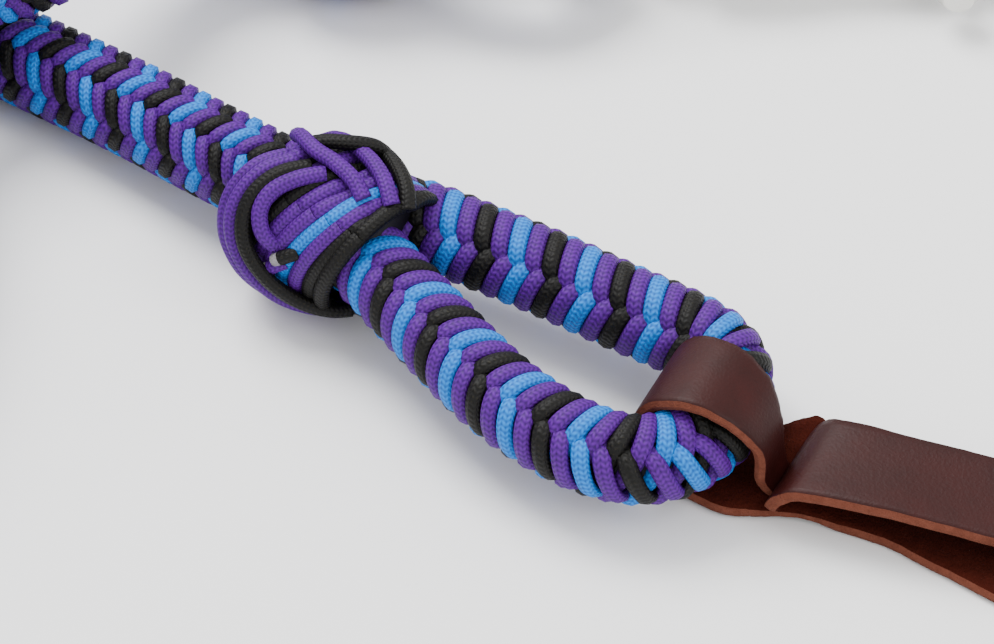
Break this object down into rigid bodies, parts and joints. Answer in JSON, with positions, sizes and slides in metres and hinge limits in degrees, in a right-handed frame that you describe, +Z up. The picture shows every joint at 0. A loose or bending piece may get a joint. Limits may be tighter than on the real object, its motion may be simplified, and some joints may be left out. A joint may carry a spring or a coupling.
{
  "type": "braided lead rope",
  "caption": "Braided cord lead rope in a low coil, with a covering knot, an eye carrying a slit leather popper, and a swivel bolt snap at the other end.",
  "frame": {"origin": "middle of the footprint, on the surface the rope lies on", "axes": "+Z up, +X along the stored rope from the coil towards the popper's tails"},
  "size_m": [0.4678, 0.2362, 0.0351],
  "materials": {
    "rope_cord": "braided nylon cords in purple, blue and black",
    "knot_cord": "braided nylon cords in purple and black",
    "latigo": "oiled grain side, rough flesh side",
    "nickel": "nickel plated",
    "spring_steel": "plain wire"
  },
  "bodies": {
    "rope": {"rope_coil": "rope_cord", "standing_rope": "rope_cord", "rope_end": "rope_cord", "eye_loop": "rope_cord", "eye_knot": "knot_cord", "snap_eye_loop": "rope_cord", "snap_knot": "knot_cord", "swivel_eye": "nickel"},
    "popper": {"popper_strap": "latigo"},
    "snap": {"snap_body": "nickel", "snap_spring": "spring_steel", "swivel_washer": "nickel"},
    "bolt": {"snap_bolt": "nickel", "snap_thumb_stud": "nickel"}
  },
  "joints": [
    {"name": "popper_swing", "type": "hinge", "parent": "rope", "child": "popper", "pos_m": [0.09806, -0.03833, 0.0116], "axis": [0.4384, 0.8988, 0], "range_deg": [-100, 0]},
    {"name": "snap_swivel", "type": "hinge", "parent": "rope", "child": "snap", "pos_m": [0.10304, 0.07674, 0.01132], "axis": [0.9956, 0, -0.0941], "continuous": true},
    {"name": "bolt_slide", "type": "slide", "parent": "snap", "child": "bolt", "axis": [-0.9956, 0, 0.0941], "range_m": [0, 0.011], "stiffness_N_per_m": 300, "deforming": ["snap_spring"]}
  ]
}
